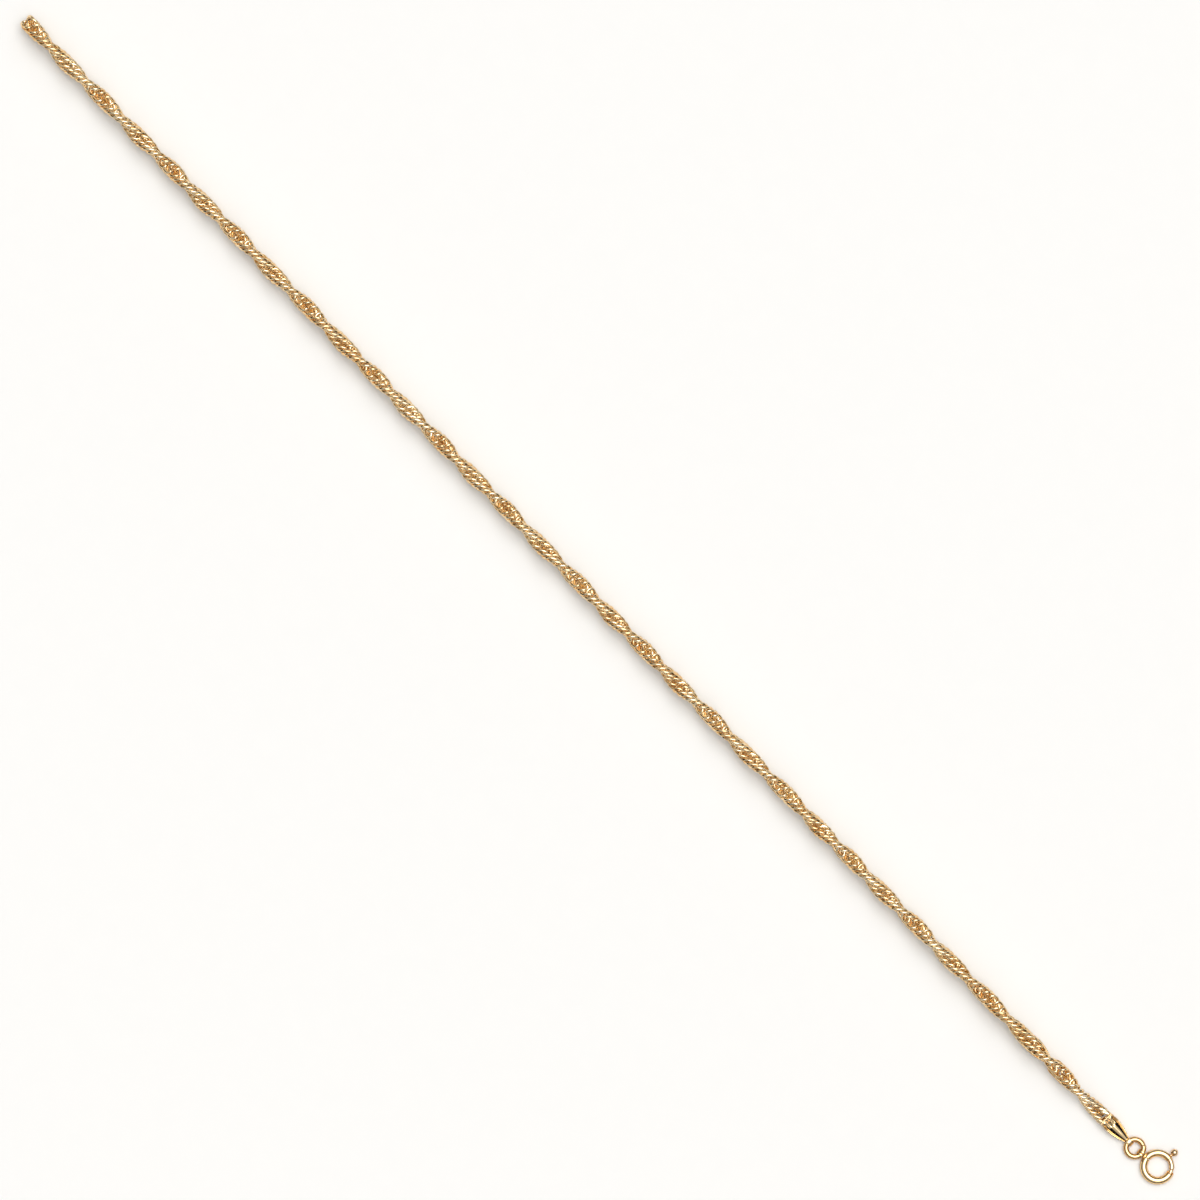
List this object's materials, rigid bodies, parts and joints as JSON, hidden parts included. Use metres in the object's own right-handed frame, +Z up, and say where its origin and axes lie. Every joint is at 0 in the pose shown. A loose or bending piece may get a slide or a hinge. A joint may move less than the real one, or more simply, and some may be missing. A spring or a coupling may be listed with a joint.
{
  "type": "singapore chain necklace",
  "caption": "Yellow gold singapore chain necklace lying doubled in a straight line, with leaf-shaped end caps and a sprung bolt ring clasp.",
  "frame": {"origin": "centre of the footprint, on the surface that the necklace lies on", "axes": "+X along the chain from its fold to the clasp, +Z up"},
  "size_m": [0.2346, 0.0062, 0.0052],
  "materials": {
    "link_gold": "polished yellow gold wire links",
    "cap_gold": "mirror polished yellow gold sheet",
    "ring_gold": "polished yellow gold round wire",
    "clasp_gold": "mirror polished yellow gold tube",
    "bolt_gold": "polished paler gold wire"
  },
  "bodies": {
    "necklace": {"chain": "link_gold", "end_cap": "cap_gold", "jump_ring": "ring_gold", "bolt_ring": "clasp_gold", "tail_cap": "cap_gold", "tail_loop": "ring_gold"},
    "bolt": {"bolt": "bolt_gold"}
  },
  "joints": [
    {"name": "bolt_slide", "type": "hinge", "parent": "necklace", "child": "bolt", "pos_m": [0.11475, -0.00056, 0.00065], "axis": [0, 0, 1], "range_deg": [0, 52], "stiffness_Nm_per_rad": 0.002, "springref_deg": -5.73}
  ]
}
